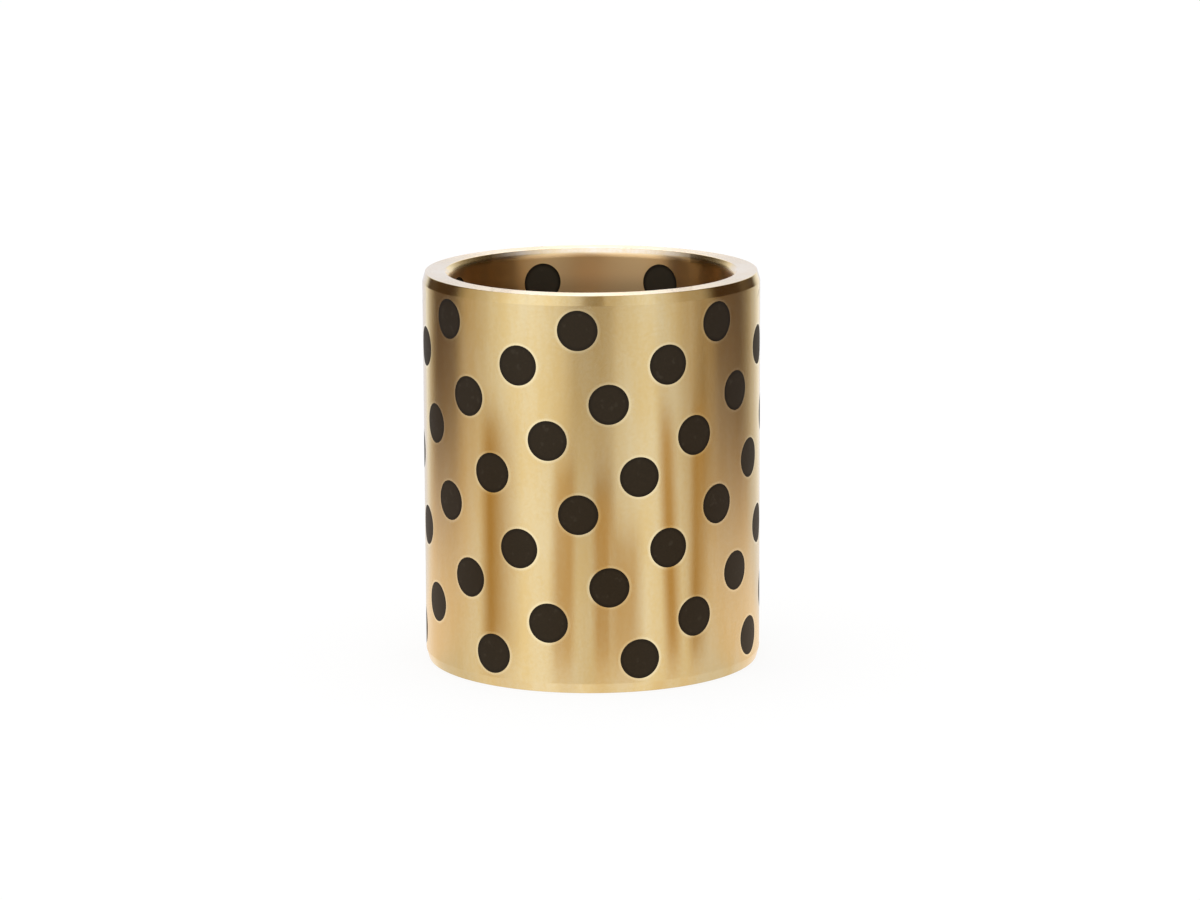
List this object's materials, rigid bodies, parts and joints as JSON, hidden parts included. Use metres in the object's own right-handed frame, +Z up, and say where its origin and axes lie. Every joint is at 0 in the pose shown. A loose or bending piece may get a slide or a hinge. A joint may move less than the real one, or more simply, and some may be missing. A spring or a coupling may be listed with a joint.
{
  "type": "graphite plugged bushing",
  "caption": "Plain cylindrical sleeve bearing in cast bronze, its wall drilled through in a staggered pattern and filled with solid graphite plugs turned flush inside and outside.",
  "frame": {"origin": "centre of the bore in the plane of the lower end face, which the bushing stands on", "axes": "+Z up along the bore; -Y towards the first line of plugs"},
  "size_m": [0.12, 0.12, 0.14],
  "materials": {
    "bronze": "fine-turned, satin",
    "graphite": "matt, machined flush"
  },
  "bodies": {
    "root": {"bronze_sleeve": "bronze", "plug_line_01": "graphite", "plug_line_02": "graphite", "plug_line_03": "graphite", "plug_line_04": "graphite", "plug_line_05": "graphite", "plug_line_06": "graphite", "plug_line_07": "graphite", "plug_line_08": "graphite", "plug_line_09": "graphite", "plug_line_10": "graphite", "plug_line_11": "graphite", "plug_line_12": "graphite", "plug_line_13": "graphite", "plug_line_14": "graphite", "plug_line_15": "graphite", "plug_line_16": "graphite", "plug_line_17": "graphite", "plug_line_18": "graphite", "plug_line_19": "graphite", "plug_line_20": "graphite", "plug_line_21": "graphite", "plug_line_22": "graphite", "plug_line_23": "graphite", "plug_line_24": "graphite", "plug_line_25": "graphite", "plug_line_26": "graphite", "plug_line_27": "graphite", "plug_line_28": "graphite", "plug_line_29": "graphite", "plug_line_30": "graphite", "plug_line_31": "graphite", "plug_line_32": "graphite", "plug_line_33": "graphite", "plug_line_34": "graphite", "plug_line_35": "graphite"}
  },
  "joints": []
}
